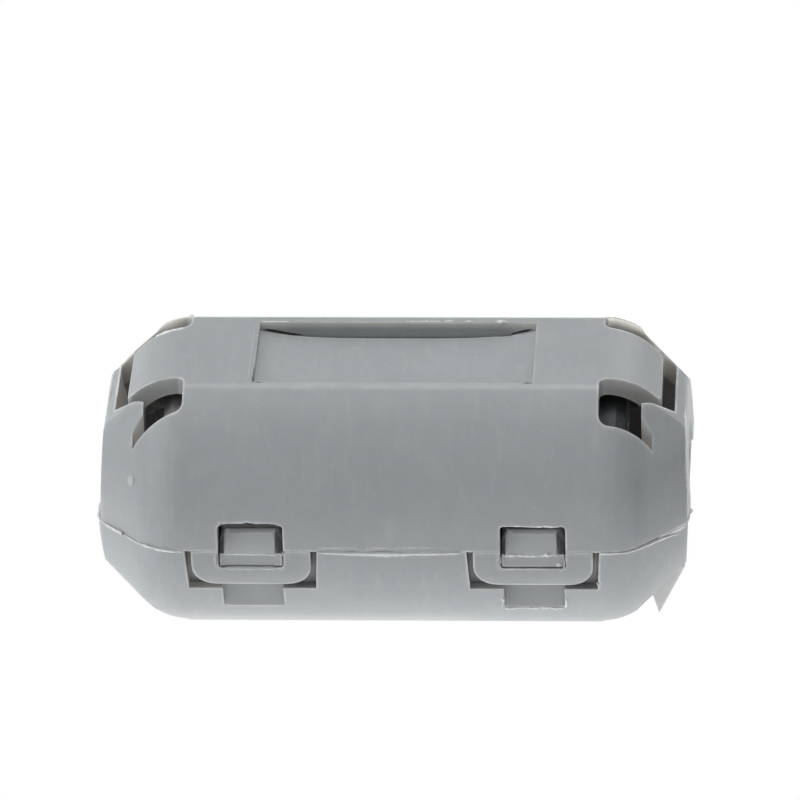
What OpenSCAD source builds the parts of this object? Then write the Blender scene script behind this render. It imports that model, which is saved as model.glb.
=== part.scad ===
// Clip-on ferrite bead: a moulded case in two halves that snaps shut round a cable,
// with half of a ferrite core in each half of the case. Lengths are in millimetres.
// The cable runs along X, the latches face -Y and the hinge straps are at +Y.
// Z = 0 is the plane where the two halves meet and the origin is the middle of the cable hole.

/* [Case] */
// length of each half of the case along the cable
case_length = 24.8; // [22:0.1:28]
// diameter of the round part of the case
case_diameter = 12.86; // [12:0.02:14]
// depth of the flats cut across the top and the bottom of the round
flat_depth = 0.62; // [0.5:0.02:0.7]
// wall thickness of the case
wall = 0.8; // [0.7:0.05:0.9]
// thickness of the end walls
end_wall = 0.65; // [0.55:0.05:0.8]
// length of the slope at each end
taper_length = 2.42; // [2.2:0.02:2.6]
// angle of the slope at each end, in degrees
taper_angle = 45; // [40:1:48]
// radius that blends the slope into the body
shoulder_radius = 3; // [2:0.1:3.2]
// radius that blends the slope into the end face
end_radius = 0.7; // [0.3:0.05:0.9]
// distance that each end face leans in from the parting plane to the slope
end_lean = 0.16; // [0:0.02:0.3]
// depth of the flat along one corner of each end slope
corner_flat_depth = 0.19; // [0.1:0.01:0.24]
// angle of the corner flats from the middle of the half, in degrees
corner_flat_angle = 33; // [30:1:36]
// distance that the upper half sits off the lower half along the cable
half_slip = 0.075; // [0:0.005:0.08]

/* [Cable hole] */
// diameter of the hole that grips the cable
cable_diameter = 3.5; // [3:0.1:3.8]
// width of the flare round the mouth of the hole
flare_width = 0.65; // [0.4:0.05:0.75]
// depth of the flare
flare_depth = 0.4; // [0.2:0.05:0.5]
// thickness of the collar round the hole inside the case
collar_thickness = 0.85; // [0.6:0.05:1]
// length of the collar inside the end wall
collar_length = 0.8; // [0.4:0.1:1]

/* [Spring tongues] */
// width of the spring tongue at each end, at its root
tongue_width = 4; // [3.7:0.1:4.4]
// width of the spring tongue at its tip
tongue_tip_width = 3.6; // [3.2:0.05:3.7]
// bevel at the corners of the tip of the tongue
tongue_bevel = 0.14; // [0.06:0.01:0.2]
// gap between the tip of the tongue and the end wall
tongue_gap = 0.55; // [0.4:0.05:0.7]
// depth of the lip under the tongue that holds the end of the core
lip_depth = 1.1; // [0.6:0.1:1.3]
// thickness of the lip under the tongue
lip_thickness = 0.5; // [0.3:0.05:0.6]
// width of the lip under the tongue
lip_width = 1.6; // [1:0.1:2.4]

/* [Corner windows] */
// distance from the inside of the end wall to the far side of a corner window
window_reach = 3; // [2.8:0.1:3.2]
// distance from the inside of the end wall to the finger beside a corner window
finger_reach = 1.34; // [1.1:0.02:1.4]
// distance from the inside of the end wall to the foot of the finger
finger_foot_reach = 0.9; // [0.7:0.05:1]
// width of a corner window from the tongue outwards
window_width = 2.2; // [2.1:0.05:2.35]
// distance from the inside of the end wall to the far side of the right front window
right_window_reach = 3.12; // [2.8:0.02:3.3]
// width of the left front window at its far side
left_window_width = 1.78; // [1.6:0.02:2.2]
// width of the narrow window at the left rear corner of the upper half
narrow_window_width = 1.3; // [1:0.05:1.6]
// distance from the tongue to the top of the finger
finger_drop = 0.92; // [0.6:0.02:1]
// distance from the tongue to the upper end of the step in the finger
finger_step_start = 1.4; // [1.1:0.05:1.45]
// distance from the tongue to the lower end of the step in the finger
finger_step_stop = 1.72; // [1.5:0.02:1.9]
// distance from the inside of the end wall to the slope of a window that has no finger
slope_reach = 1.35; // [1.1:0.05:1.7]
// gap between the tip of the tongue and the corner beside it where there is no finger
tip_slit = 0.15; // [0.1:0.01:0.2]
// corner radius of the windows
window_corner = 0.4; // [0.2:0.05:0.6]

/* [Spring panel] */
// distance from the dished panel in the top to the corner windows
panel_inset = 2.9; // [2.7:0.1:4]
// width of the dished panel
panel_width = 4.8; // [4.2:0.1:5]
// step down at the ends of the panel
panel_step = 0.22; // [0.14:0.01:0.24]
// sag of the panel from its ends to its middle
panel_sag = 0.42; // [0.3:0.01:0.44]
// thickness of the panel
panel_thickness = 0.42; // [0.35:0.01:0.44]
// distance that the rear wall of the recess leans back over its height
panel_lean = 0.16; // [0.05:0.01:0.24]
// slit along the rear edge of the panel
panel_slit = 0.08; // [0.04:0.01:0.2]

/* [Latches] */
// distance of each latch from the start of the end slope
latch_inset = 4.08; // [4.04:0.02:4.5]
// width of a latch tab
latch_width = 5; // [4.6:0.1:5.4]
// length of a latch tab below the parting plane
latch_drop = 1.78; // [1.66:0.02:1.9]
// thickness of a latch tab at its root
latch_thickness = 0.7; // [0.6:0.02:0.72]
// radius of the lower corners of a latch tab
latch_corner = 1; // [0.5:0.05:1.05]
// width of the window in a latch tab
latch_window_width = 2.74; // [2.5:0.02:2.9]
// height of the latch window above the parting plane
latch_window_rise = 1.2; // [1.1:0.02:1.4]
// depth of the latch window below the parting plane
latch_window_drop = 0.85; // [0.8:0.01:0.88]
// corner radius of the latch window
latch_window_corner = 0.16; // [0.08:0.02:0.24]
// gap round a latch tab in its pocket
latch_gap = 0.27; // [0.22:0.01:0.32]
// distance that the sides of a pocket close in from top to bottom
pocket_draft = 0.1; // [0:0.01:0.14]
// width of the mould relief notch below a catch
relief_width = 2.54; // [2.3:0.02:2.7]
// depth of the mould relief notch behind the back of a pocket
relief_depth = 0.09; // [0.04:0.01:0.14]
// gap behind a latch tab in its pocket
latch_back_gap = 0.1; // [0.06:0.01:0.14]

/* [Catches] */
// gap between a catch and its window
catch_gap = 0.06; // [0.05:0.01:0.1]
// distance that the nose of a catch sits inside the case surface
catch_inset = 0.12; // [0.08:0.01:0.2]
// depth of the ridge of a catch below the parting plane
catch_ridge_drop = 0.18; // [0:0.01:0.3]
// length of the ramp of a catch along Y
catch_ramp_run = 0.38; // [0.3:0.01:0.6]
// height of the top of the ramp above the parting plane
catch_ramp_rise = 0.62; // [0.5:0.02:0.8]
// distance that each side of the ramp sits in from the side of the catch at the ridge
catch_hip = 0.21; // [0.1:0.01:0.24]
// depth behind the ridge at which the hipped sides of the ramp reach the full width
catch_hip_depth = 0.28; // [0.2:0.01:0.36]
// angle that the hipped sides of the ramp lean back, in degrees
catch_hip_angle = 45; // [40:1:50]
// thickness of the wall behind a pocket
pocket_wall = 0.7; // [0.6:0.02:0.74]
// depth of the pocket wall below the parting plane
pocket_wall_drop = 3.5; // [3.3:0.1:3.8]

/* [Ferrite core] */
// room between each end of the core and the end wall
core_end_room = 2.05; // [1.9:0.05:2.4]
// gap between the core and the dished panel
core_panel_gap = 0.1; // [0.06:0.01:0.2]
// gap between the core and the walls behind the latch pockets
core_side_gap = 0.25; // [0.2:0.01:0.4]
// difference of the radius of the hole through the core from the cable hole
core_hole_room = 0.3; // [0.25:0.01:0.4]
// chamfer at the ends of the core
core_chamfer = 0.4; // [0.2:0.05:0.6]
// clearance between the core and the ribs that carry it
core_clearance = 0.05; // [0.03:0.01:0.1]
// distance of each rib from the end of the core
rib_inset = 2.3; // [1.9:0.1:2.6]
// thickness of a rib
rib_thickness = 0.8; // [0.6:0.1:1]

/* [Hinge straps] */
// distance of each hinge strap from the start of the end slope
strap_inset = 4.78; // [4.3:0.02:5.2]
// width of a hinge strap
strap_width = 4; // [3:0.1:4.4]
// thickness of a hinge strap
strap_thickness = 0.3; // [0.2:0.02:0.4]
// radius of the fold of a hinge strap
strap_radius = 0.4; // [0.32:0.02:0.5]
// straight part of a hinge strap beside the case
strap_flange = 0.4; // [0.3:0.02:0.6]

/* [Bent finger] */
// distance of the bent tip from the end face
spur_reach = 1.3; // [1.1:0.05:1.4]
// distance of the bent tip below the middle of the cable hole
spur_drop = 5.25; // [5:0.05:5.4]
// thickness of the bent tip
spur_thickness = 0.5; // [0.3:0.05:0.6]

/* [Hidden] */
$fn = 96;
case_grey = [0.52, 0.53, 0.54];
core_grey = [0.10, 0.10, 0.11];
case_radius = case_diameter / 2;
case_rise = case_radius - flat_depth;
half_length = case_length / 2;
shoulder = half_length - taper_length;
end_inside = half_length - end_wall;
overrun = wall / 4;
far = 2 * case_length;
arc_steps = 8;
corner_steps = 6;
edge_steps = 4;
panel_steps = 24;
cable_radius = cable_diameter / 2;
flare_radius = cable_radius + flare_width;
collar_radius = cable_radius + collar_thickness;
tongue_side = tongue_width / 2;
tip_side = tongue_tip_width / 2;
window_far_side = tongue_side + window_width;
narrow_far_side = tongue_side + narrow_window_width;
left_far_side = tongue_side + left_window_width;
window_start = end_inside - window_reach;
right_window_start = end_inside - right_window_reach;
tongue_tip = end_inside - tongue_gap;
window_floor = case_rise / 4;
panel_half = window_start - panel_inset;
panel_side = panel_width / 2;
latch_offset = shoulder - latch_inset;
strap_offset = shoulder - strap_inset;
latch_inside = case_radius - latch_thickness;
pocket_back = latch_inside - latch_back_gap;
pocket_floor = latch_drop + latch_gap;
pocket_wall_inside = pocket_back - pocket_wall;
panel_crown = case_rise - panel_step - panel_sag;
panel_belly = panel_crown - panel_thickness;
core_radius = min(panel_belly - core_panel_gap, pocket_wall_inside - core_side_gap);
core_half = end_inside - core_end_room;
core_hole_radius = cable_radius + core_hole_room;
cradle_radius = core_radius + core_clearance;
lip_start = core_half + core_clearance;
rib_offset = core_half - rib_inset;
catch_width = latch_window_width - 2 * catch_gap;
catch_nose = case_radius - catch_inset;
catch_foot = latch_window_drop - catch_gap;
strap_axis = case_radius + strap_flange;

// points of an arc, for a middle, a radius and two angles
function arc_points(middle, radius, start, stop, steps) =
    [for (i = [0:steps])
        let (a = start + (stop - start) * i / steps)
        middle + radius * [cos(a), sin(a)]];

// half outline of the case from its middle to one end: distance along the cable, then height
function end_outline(height, inset, stop, lean, edge_radius) =
    let (
        crest = height - inset,
        corner = shoulder - inset * tan(taper_angle / 2),
        radius = shoulder_radius - inset,
        tangent = radius * tan(taper_angle / 2),
        lean_stop = stop - lean,
        edge_height = crest - (lean_stop - corner) * tan(taper_angle),
        edge_tangent = edge_radius * tan((90 - taper_angle) / 2)
    )
    concat(
        arc_points([corner - tangent, crest - radius], radius, 90, 90 - taper_angle, arc_steps),
        edge_radius == 0 ?
            [[lean_stop, edge_height]] :
            arc_points([lean_stop - edge_radius, edge_height - edge_tangent],
                edge_radius, 90 - taper_angle, 0, edge_steps),
        [[stop, 0]]
    );

// the same points seen in the other end
function mirrored(points) =
    [for (i = [len(points) - 1:-1:0]) [-points[i][0], points[i][1]]];

// whole outline of one half of the case from end to end
function half_outline(height, inset, stop, lean, edge_radius) =
    let (points = end_outline(height, inset, stop, lean, edge_radius))
    concat(mirrored(points), points);

// solid with the outer form of the case, or with its hollow when inset
module case_form(inset, stop, lean, edge_radius) {
    intersection() {
        rotate([0, 90, 0])
            rotate_extrude()
                mirror([0, 1])
                    polygon([for (p = half_outline(case_radius, inset, stop, 0, edge_radius)) [p[1], p[0]]]);
        rotate([90, 0, 0])
            linear_extrude(height = far, center = true)
                union() {
                    polygon(half_outline(case_rise, inset, stop, lean, edge_radius));
                    mirror([0, 1])
                        polygon(half_outline(case_rise, inset, stop, lean, edge_radius));
                }
    }
}

// all space above the parting plane
module space_above() {
    translate([-far / 2, -far / 2, 0])
        cube([far, far, far / 2]);
}

// cut for the flats along the corner of the end slopes that faces up and to the rear
module corner_flats() {
    start = shoulder - corner_flat_depth / sin(taper_angle);
    rotate([-corner_flat_angle, 0, 0])
        rotate([90, 0, 0])
            linear_extrude(height = far, center = true)
                for (side = [0, 1])
                    mirror([side, 0])
                        polygon([
                            [start, case_radius],
                            [start + far, case_radius - far * tan(taper_angle)],
                            [start + far, far],
                            [start, far]
                        ]);
}

// upper half of the case wall with ribs, collars and lips for the core
module half_case() {
    difference() {
        intersection() {
            case_form(0, half_length, end_lean, end_radius);
            space_above();
        }
        case_form(wall, end_inside, 0, 0);
    }
    for (side = [-1, 1]) {
        core_rib(side);
        cable_collar(side);
        tongue_lip(side);
    }
}

// rib across the case that carries the core
module core_rib(side) {
    intersection() {
        case_form(wall / 2, end_inside, 0, 0);
        difference() {
            translate([side * rib_offset - rib_thickness / 2, -far / 2, 0])
                cube([rib_thickness, far, far / 2]);
            rotate([0, 90, 0])
                cylinder(h = far, r = cradle_radius, center = true);
        }
    }
}

// collar round the cable hole inside the end wall
module cable_collar(side) {
    intersection() {
        space_above();
        rotate([0, side * 90, 0])
            translate([0, 0, end_inside - collar_length])
                cylinder(h = collar_length + end_wall / 2, r = collar_radius);
    }
}

// lip under the spring tongue that stops the core from sliding out
module tongue_lip(side) {
    intersection() {
        case_form(wall / 2, end_inside, 0, 0);
        translate([side * (lip_start + lip_thickness / 2), 0, core_radius - lip_depth + far / 4])
            cube([lip_thickness, lip_width, far / 2], center = true);
    }
}

// cable hole with its flared mouths
module cable_hole() {
    rotate([0, 90, 0])
        cylinder(h = far, r = cable_radius, center = true);
    for (side = [-1, 1])
        rotate([0, side * 90, 0])
            translate([0, 0, half_length - flare_depth])
                cylinder(h = flare_depth, r1 = cable_radius, r2 = flare_radius);
}

// edge of the finger that stands between a corner window and the end wall
finger_edge = [
    [end_inside, tip_side],
    [end_inside - finger_reach, tongue_side + finger_drop],
    [end_inside - finger_reach, tongue_side + finger_step_start],
    [end_inside - finger_foot_reach, tongue_side + finger_step_stop],
    [end_inside - finger_foot_reach, window_far_side]
];

// plan of the cut at one corner: the window beside the tongue and half of the slot at its tip
module corner_plan(end_edge, start, far_side) {
    round_start = start + window_corner;
    polygon(concat(
        [[round_start, tongue_side], [tongue_tip - tongue_bevel, tip_side]],
        [[tongue_tip, tip_side - tongue_bevel], [tongue_tip, -overrun], [end_inside, -overrun]],
        end_edge,
        [[round_start, far_side], [start, far_side - window_corner]],
        [[start, tongue_side + window_corner]]
    ));
    for (edge = [tongue_side + window_corner, far_side - window_corner])
        translate([round_start, edge])
            circle(r = window_corner);
}

// window at one front corner with a finger beside it, for a side in X
module finger_window(x_side, start, far_side) {
    mirror([x_side, 0, 0])
        mirror([0, 1, 0])
            translate([0, 0, window_floor])
                linear_extrude(height = far)
                    corner_plan(finger_edge, start, far_side);
}

// window at one corner without a finger: its far side slopes in to the tip of the tongue
module bare_window(x_side, y_side, far_side) {
    slit_side = tip_side + tip_slit;
    end_edge = [[end_inside, slit_side], [tongue_tip, slit_side], [end_inside - slope_reach, far_side]];
    mirror([x_side, 0, 0])
        mirror([0, y_side, 0])
            translate([0, 0, window_floor])
                linear_extrude(height = far)
                    corner_plan(end_edge, window_start, far_side);
}

// dished panel in the top that presses on the core
module spring_panel() {
    top = case_rise - panel_step;
    reach = panel_half + overrun;
    crown = [for (i = [0:panel_steps])
        let (share = 2 * i / panel_steps - 1)
        [share * reach, top - panel_sag * (1 - pow(share, 4))]];
    belly = [for (i = [panel_steps:-1:0]) crown[i] - [0, panel_thickness]];
    translate([0, panel_side - panel_lean - panel_slit, 0])
        rotate([90, 0, 0])
            linear_extrude(height = panel_width - panel_lean - panel_slit + overrun)
                polygon(concat(crown, belly));
}

// opening in the top for the dished panel, with a rear wall that leans back
module panel_opening() {
    translate([-panel_half, 0, 0])
        rotate([90, 0, 90])
            linear_extrude(height = 2 * panel_half)
                polygon([
                    [-panel_side, core_radius],
                    [panel_side - panel_lean, core_radius],
                    [panel_side - panel_lean, panel_crown],
                    [panel_side, case_rise],
                    [panel_side, far],
                    [-panel_side, far]
                ]);
}

// outline of the window for a catch, seen from the front
module window_outline() {
    side = latch_window_width / 2;
    inner_side = side - latch_window_corner;
    top = latch_window_rise - latch_window_corner;
    foot = latch_window_corner - latch_window_drop;
    polygon(concat(
        arc_points([inner_side, foot], latch_window_corner, -90, 0, corner_steps),
        arc_points([inner_side, top], latch_window_corner, 0, 90, corner_steps),
        arc_points([-inner_side, top], latch_window_corner, 90, 180, corner_steps),
        arc_points([-inner_side, foot], latch_window_corner, 180, 270, corner_steps)
    ));
}

// window in the front of the upper half above a latch
module latch_window(x) {
    translate([x, -pocket_wall_inside, 0])
        rotate([90, 0, 0])
            linear_extrude(height = far)
                window_outline();
}

module upper_shell() {
    color(case_grey)
        translate([half_slip, 0, 0])
            union() {
                difference() {
                    half_case();
                    cable_hole();
                    corner_flats();
                    finger_window(0, right_window_start, window_far_side);
                    finger_window(1, window_start, left_far_side);
                    bare_window(0, 0, window_far_side);
                    bare_window(1, 0, narrow_far_side);
                    panel_opening();
                    for (side = [-1, 1])
                        latch_window(side * latch_offset);
                }
                spring_panel();
            }
}

// wall behind the pocket of a latch
module pocket_backing(x) {
    width = latch_width + 2 * (latch_gap + wall);
    intersection() {
        case_form(0, half_length, end_lean, end_radius);
        translate([x - width / 2, -far, -pocket_wall_drop])
            cube([width, far - pocket_wall_inside, pocket_wall_drop]);
    }
}

// pocket that a latch tab drops into, with the mould relief notch below the catch
module latch_pocket(x) {
    side = latch_width / 2 + latch_gap;
    foot_side = side - pocket_draft;
    translate([x, -pocket_back, 0])
        rotate([90, 0, 0])
            linear_extrude(height = far)
                polygon([
                    [-foot_side, -pocket_floor],
                    [foot_side, -pocket_floor],
                    [side, 0],
                    [side, far],
                    [-side, far],
                    [-side, 0]
                ]);
    translate([x - relief_width / 2, relief_depth - pocket_back - far, -far])
        cube([relief_width, far, far]);
}

// wedge that the latch tab snaps over: a square nose with a hipped ramp on top
module latch_catch(x) {
    side = catch_width / 2;
    ridge_side = side - catch_hip;
    top_side = ridge_side - 2 * catch_hip;
    back = catch_nose - pocket_wall_inside;
    rise = catch_ridge_drop + catch_ramp_rise;
    translate([x, -catch_nose, -catch_ridge_drop]) {
        translate([-side, 0, catch_ridge_drop - catch_foot])
            cube([catch_width, back, catch_foot - catch_ridge_drop]);
        intersection() {
            translate([-side, 0, 0])
                rotate([90, 0, 90])
                    linear_extrude(height = catch_width)
                        polygon([
                            [0, -overrun],
                            [0, 0],
                            [catch_ramp_run, rise],
                            [back, rise],
                            [back, -overrun]
                        ]);
            rotate([-catch_hip_angle, 0, 0])
                linear_extrude(height = far, center = true)
                    polygon([
                        [-top_side, -2 * catch_hip_depth],
                        [top_side, -2 * catch_hip_depth],
                        [side, catch_hip_depth],
                        [side, far],
                        [-side, far],
                        [-side, catch_hip_depth]
                    ]);
        }
    }
}

// tip of the corner finger that is bent out of line at the lower right
module bent_finger() {
    tip = half_length - spur_reach;
    edge = window_far_side - finger_step_start + spur_thickness / 2;
    translate([0, -edge + spur_thickness, 0])
        rotate([90, 0, 0])
            linear_extrude(height = spur_thickness)
                polygon([
                    [half_length - overrun, -case_rise / 2],
                    [tip, -spur_drop],
                    [end_inside - finger_foot_reach, -case_rise * 3 / 4],
                    [end_inside, -case_rise * 2 / 5]
                ]);
}

module lower_shell() {
    color(case_grey)
        union() {
            difference() {
                union() {
                    mirror([0, 0, 1])
                        half_case();
                    for (side = [-1, 1])
                        pocket_backing(side * latch_offset + half_slip);
                }
                cable_hole();
                rotate([180, 0, 0])
                    corner_flats();
                mirror([0, 0, 1])
                    for (x_side = [0, 1], y_side = [0, 1])
                        bare_window(x_side, y_side, window_far_side);
                for (side = [-1, 1])
                    latch_pocket(side * latch_offset + half_slip);
            }
            for (side = [-1, 1])
                latch_catch(side * latch_offset + half_slip);
            bent_finger();
        }
}

// front outline of a latch tab, with its window
module latch_outline() {
    side = latch_width / 2 - latch_corner;
    foot = latch_corner - latch_drop;
    difference() {
        polygon(concat(
            [[latch_width / 2, 0]],
            [[-latch_width / 2, 0]],
            arc_points([-side, foot], latch_corner, 180, 270, corner_steps),
            arc_points([side, foot], latch_corner, 270, 360, corner_steps)
        ));
        window_outline();
    }
}

// latch tab at one place along the cable
module latch_tab(x) {
    color(case_grey)
        translate([half_slip, 0, 0])
            intersection() {
                case_form(0, half_length, end_lean, end_radius);
                translate([x, -latch_inside, 0])
                    rotate([90, 0, 0])
                        linear_extrude(height = far)
                            latch_outline();
            }
}

module left_latch() {
    latch_tab(-latch_offset);
}

module right_latch() {
    latch_tab(latch_offset);
}

// half of the core, with its flat face on the parting plane
module half_core() {
    intersection() {
        space_above();
        rotate([0, 90, 0])
            rotate_extrude()
                polygon([
                    [core_hole_radius, -core_half],
                    [core_radius - core_chamfer, -core_half],
                    [core_radius, core_chamfer - core_half],
                    [core_radius, core_half - core_chamfer],
                    [core_radius - core_chamfer, core_half],
                    [core_hole_radius, core_half]
                ]);
    }
}

module lower_ferrite() {
    color(core_grey)
        mirror([0, 0, 1])
            half_core();
}

module upper_ferrite() {
    color(core_grey)
        translate([half_slip, 0, 0])
            half_core();
}

// folded strap that joins the two halves at the rear
module hinge_strap(x) {
    outer = strap_radius + strap_thickness / 2;
    inner = strap_radius - strap_thickness / 2;
    color(case_grey)
        difference() {
            translate([x - strap_width / 2, 0, 0])
                rotate([90, 0, 90])
                    linear_extrude(height = strap_width)
                        union() {
                            difference() {
                                translate([strap_axis, 0])
                                    circle(r = outer);
                                translate([strap_axis, 0])
                                    circle(r = inner);
                                translate([strap_axis - far, -far / 2])
                                    square([far, far]);
                            }
                            translate([strap_axis - 2 * strap_flange, inner])
                                square([2 * strap_flange, strap_thickness]);
                            translate([strap_axis - 2 * strap_flange, -outer])
                                square([2 * strap_flange, strap_thickness]);
                        }
            rotate([0, 90, 0])
                cylinder(h = far, r = case_radius, center = true);
        }
}

module left_hinge_strap() {
    hinge_strap(-strap_offset);
}

module right_hinge_strap() {
    hinge_strap(strap_offset);
}

lower_shell();
upper_shell();
left_latch();
right_latch();
lower_ferrite();
upper_ferrite();
left_hinge_strap();
right_hinge_strap();
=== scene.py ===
"""Looks of the clip-on ferrite bead: materials, moulding flash, hinge straps, light and camera."""

import math
import random

import bpy
from mathutils import Matrix, Vector
from mathutils.bvhtree import BVHTree


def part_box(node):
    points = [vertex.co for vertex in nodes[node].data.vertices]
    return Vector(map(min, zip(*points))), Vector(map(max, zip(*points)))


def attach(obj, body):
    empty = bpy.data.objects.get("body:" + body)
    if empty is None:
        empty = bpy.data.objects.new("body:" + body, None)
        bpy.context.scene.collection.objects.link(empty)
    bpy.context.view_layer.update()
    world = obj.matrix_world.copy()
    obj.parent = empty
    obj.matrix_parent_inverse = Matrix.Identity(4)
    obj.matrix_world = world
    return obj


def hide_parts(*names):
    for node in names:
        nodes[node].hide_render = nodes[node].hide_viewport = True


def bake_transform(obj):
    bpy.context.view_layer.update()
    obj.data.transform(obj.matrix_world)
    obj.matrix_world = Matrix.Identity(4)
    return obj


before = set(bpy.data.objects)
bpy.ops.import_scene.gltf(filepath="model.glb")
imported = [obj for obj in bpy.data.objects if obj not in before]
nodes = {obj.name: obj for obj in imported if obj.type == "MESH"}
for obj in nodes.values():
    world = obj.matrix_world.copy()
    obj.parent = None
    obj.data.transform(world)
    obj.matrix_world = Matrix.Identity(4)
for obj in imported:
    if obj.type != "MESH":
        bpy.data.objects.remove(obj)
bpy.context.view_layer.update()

MM = 0.001
CASE_NODES = ("lower_shell", "upper_shell", "left_latch", "right_latch")
CORE_NODES = ("lower_ferrite", "upper_ferrite")
STRAP_NODES = ("left_hinge_strap", "right_hinge_strap")
BODY_OF = {
    "lower_shell": "lower",
    "upper_shell": "upper",
    "left_latch": "left_tab",
    "right_latch": "right_tab",
}
FLOOR_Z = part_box("lower_shell")[0][2]

# camera, fitted to points measured in the photo
CAM_AZIMUTH = 4.06
CAM_ELEVATION = 32.58
CAM_ROLL = -2.0
CAM_DISTANCE = 352.0 * MM
CAM_PIXELS_PER_MM = 23.6
CAM_ORIGIN_PIXEL = (397.6, 468.8)
CAM_CLIP = (0.02, 5.0)
IMAGE_SIDE = 800
SENSOR_WIDTH = 36.0

# light: radiance of the floor and the sky, then place, size and power of each soft box, in metres and watts
FLOOR_SIDE = 3.0
FLOOR_GLOW = 1.5
SKY_GLOW = 0.02
SKY_TINT = (0.97, 0.985, 1.0, 1.0)
SOFTBOXES = {
    "top_light": ((-0.05, 0.09, 0.45), (0.30, 0.30), 1.02),
    "upper_left_light": ((-0.35, 0.0, 0.35), (0.25, 0.25), 1.03),
    "upper_right_light": ((0.35, 0.0, 0.35), (0.25, 0.25), 0.29),
    "upper_front_light": ((0.0, -0.22, 0.42), (0.30, 0.30), 0.18),
    "left_light": ((-0.42, -0.20, 0.14), (0.25, 0.25), 0.67),
    "rear_light": ((0.16, 0.36, 0.26), (0.30, 0.30), 0.73),
}

# tones of the plastic, the ferrite and the gaps; a pair is mixed by a noise
CASE_TONE = (0.306, 0.324, 0.334)
FLASH_HIGHLIGHT_TONE = (0.60, 0.615, 0.62)
PIP_AND_HIGHLIGHT_TONE = (0.40, 0.415, 0.42)
TONE_SPREAD = (0.975, 1.025)
HOLLOW_LIGHT_TONE = (0.48, 0.425, 0.375)
SHADE_TONE = (0.16, 0.17, 0.175)
CREASE_HIGHLIGHT_TONE = (0.50, 0.515, 0.52)
EDGE_HIGHLIGHT_TONE = (0.74, 0.75, 0.755)
CATCH_GAP_SHADOW_TONE = (0.09, 0.09, 0.09)
WARM_GLOW = (1.0, 0.96, 0.86)
COOL_GLOW = (0.92, 0.97, 1.0)
CORE_TONES = ((0.13, 0.135, 0.14), (0.19, 0.195, 0.20))
LIT_CORE_END_TONES = ((0.27, 0.27, 0.275), (0.36, 0.36, 0.365))
SHADED_CORE_END_TONES = ((0.07, 0.082, 0.088), (0.11, 0.125, 0.132))
PAINTED_GLINT_TONE = (0.42, 0.42, 0.42)
PAINTED_GLINT_SHARE = 0.4
GAP_TONES = ((0.025, 0.025, 0.025), (0.06, 0.06, 0.058))

# noises: scale per metre, detail, roughness and, where it is drawn out, the stretch along x, y and z
CASE_NOISES = {
    "grain": (9000.0, 3.0, 0.6),
    "cloud": (260.0, 3.0, 0.55),
    "flow": (2600.0, 3.0, 0.6, (1.0, 0.2, 0.2)),
    "speck": (4200.0, 2.0, 0.5),
    "highlight_patches": (1100.0, 3.0, 0.65),
    "mottle": (1500.0, 3.0, 0.6, (1.0, 0.5, 0.5)),
}
CORE_GRAIN = (6500.0, 4.0, 0.6)
CORE_CLOUD = (500.0, 2.0, 0.5)
GAP_MOTTLE = (5000.0, 3.0, 0.6)
NOISE_SPAN = (0.3, 0.7)
# marks in the plastic: where the noise fades in, share and tone
MARKS = {
    "mottle": ((0.45, 0.7), 0.12, (0.42, 0.44, 0.45)),
    "flow": ((0.56, 0.72), 0.11, (0.48, 0.49, 0.50)),
    "speck": ((0.66, 0.74), 0.12, (0.50, 0.51, 0.52)),
}
PAINTED_GLINT = (0.62, 0.72)

# painted warm light in hollows and painted highlights on edges: how far they look about, and how open or shut
# a place has to be
HOLLOW_REACH = 2.5 * MM
HOLLOW_SPAN = (0.45, 0.1)
HOLLOW_LIGHT_SHARE = 0.8
EDGE_REACH = 0.12 * MM
EDGE_SPAN = (0.97, 0.62)
EDGE_HIGHLIGHT_PATCHES = (0.38, 0.6, 0.25, 1.0)
CREASE_HIGHLIGHT_PATCHES = (0.3, 0.6, 0.1, 0.3)
BEVEL_RADIUS = 0.06 * MM
GRAIN_DEPTH = 0.02 * MM

# Zones of the bead. Their readings are x, y and z, reach and aside (x and y without sign), in millimetres,
# and nx, ny and nz, the parts of the outward direction, with slant (nx without sign). Two limits are a fade
# from none to full. Three are a band: its low end, its high end and its soft border.
UNSIGNED = {"reach": "x", "aside": "y", "slant": "nx"}
FACINGS = ("nx", "ny", "nz", "slant")
MIDDLE = 1.0 * MM
ENDS = {"reach": (8.3, 8.6)}
# painted highlight band along the front crease of the top
CREASE = {"y": (-2.8, -2.55, 0.12), "z": (5.0, 5.2)}
# painted light on the left end of the ferrite and painted shade on its right end
LIT_CORE_END = {"x": (-7.6, -8.8)}
SHADED_CORE_END = {"x": (7.2, 8.6)}
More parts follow.
